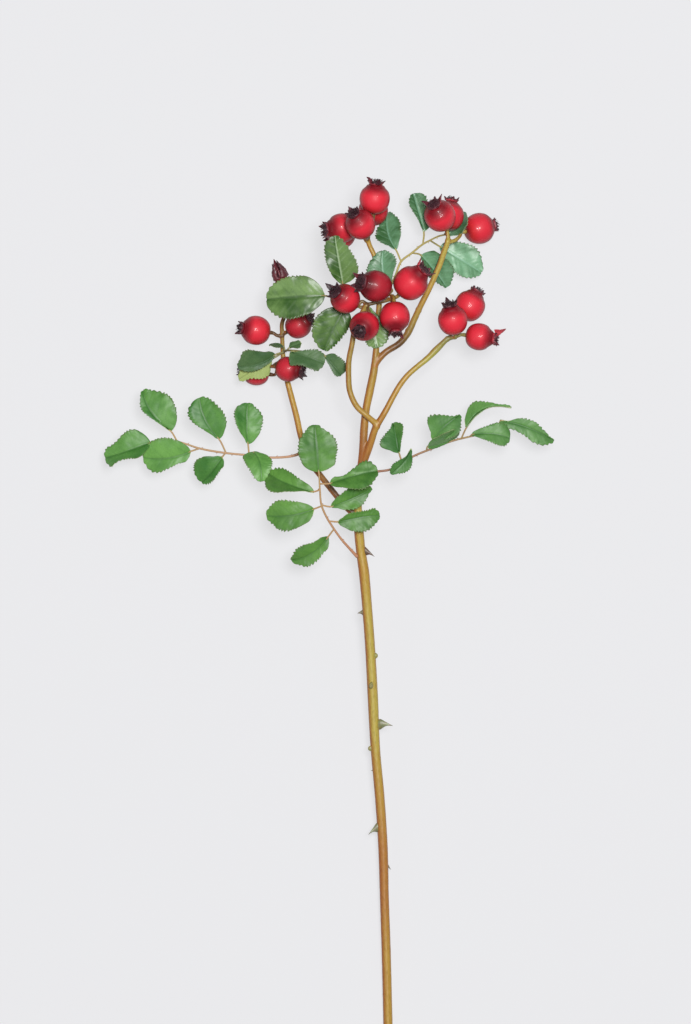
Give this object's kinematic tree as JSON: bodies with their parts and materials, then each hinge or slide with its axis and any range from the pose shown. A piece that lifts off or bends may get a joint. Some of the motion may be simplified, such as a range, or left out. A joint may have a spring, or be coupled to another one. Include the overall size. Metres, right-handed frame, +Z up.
{
  "type": "rose hip sprig",
  "caption": "Cut rose stem with prickles and forked branches, clusters of round red hips with dried calyxes, and compound leaves with toothed leaflets; lies on a surface.",
  "frame": {"origin": "on the surface that the sprig lies on, under the middle of the whole sprig's box", "axes": "+X to the right of the sprig as the picture shows it, +Y from the cut end to the tips, +Z up from the surface"},
  "size_m": [0.2254, 0.4476, 0.0658],
  "materials": {
    "bark": "satin",
    "ripe_skin": "glossy",
    "wine_skin": "glossy",
    "dried_calyx": "matte",
    "green_leaf": "satin",
    "bluish_leaf": "satin"
  },
  "bodies": {
    "root": {"stem": "bark", "hip_top_1": "ripe_skin", "calyx_top_1": "dried_calyx", "hip_top_2": "ripe_skin", "calyx_top_2": "dried_calyx", "hip_top_3": "ripe_skin", "calyx_top_3": "dried_calyx", "hip_top_4": "ripe_skin", "calyx_top_4": "dried_calyx", "hip_top_5": "ripe_skin", "calyx_top_5": "dried_calyx", "hip_right_1": "ripe_skin", "calyx_right_1": "dried_calyx", "hip_right_2": "ripe_skin", "calyx_right_2": "dried_calyx", "hip_right_3": "ripe_skin", "calyx_right_3": "dried_calyx", "hip_middle_1": "ripe_skin", "calyx_middle_1": "dried_calyx", "hip_middle_2": "wine_skin", "calyx_middle_2": "dried_calyx", "hip_middle_3": "ripe_skin", "calyx_middle_3": "dried_calyx", "hip_middle_4": "ripe_skin", "calyx_middle_4": "dried_calyx", "hip_middle_5": "ripe_skin", "calyx_middle_5": "dried_calyx", "hip_outer_1": "ripe_skin", "calyx_outer_1": "dried_calyx", "hip_outer_2": "ripe_skin", "calyx_outer_2": "dried_calyx", "hip_outer_3": "ripe_skin", "calyx_outer_3": "dried_calyx", "hip_left_1": "ripe_skin", "calyx_left_1": "dried_calyx", "hip_left_2": "wine_skin", "calyx_left_2": "dried_calyx", "hip_left_3": "wine_skin", "calyx_left_3": "dried_calyx", "hip_left_4": "ripe_skin", "calyx_left_4": "dried_calyx", "hip_left_5": "ripe_skin", "calyx_left_5": "dried_calyx", "leaf_left": "green_leaf", "leaf_fore": "green_leaf", "leaf_right": "green_leaf", "leaf_upper": "bluish_leaf", "leaf_middle": "green_leaf", "leaf_small": "green_leaf"}
  },
  "joints": []
}
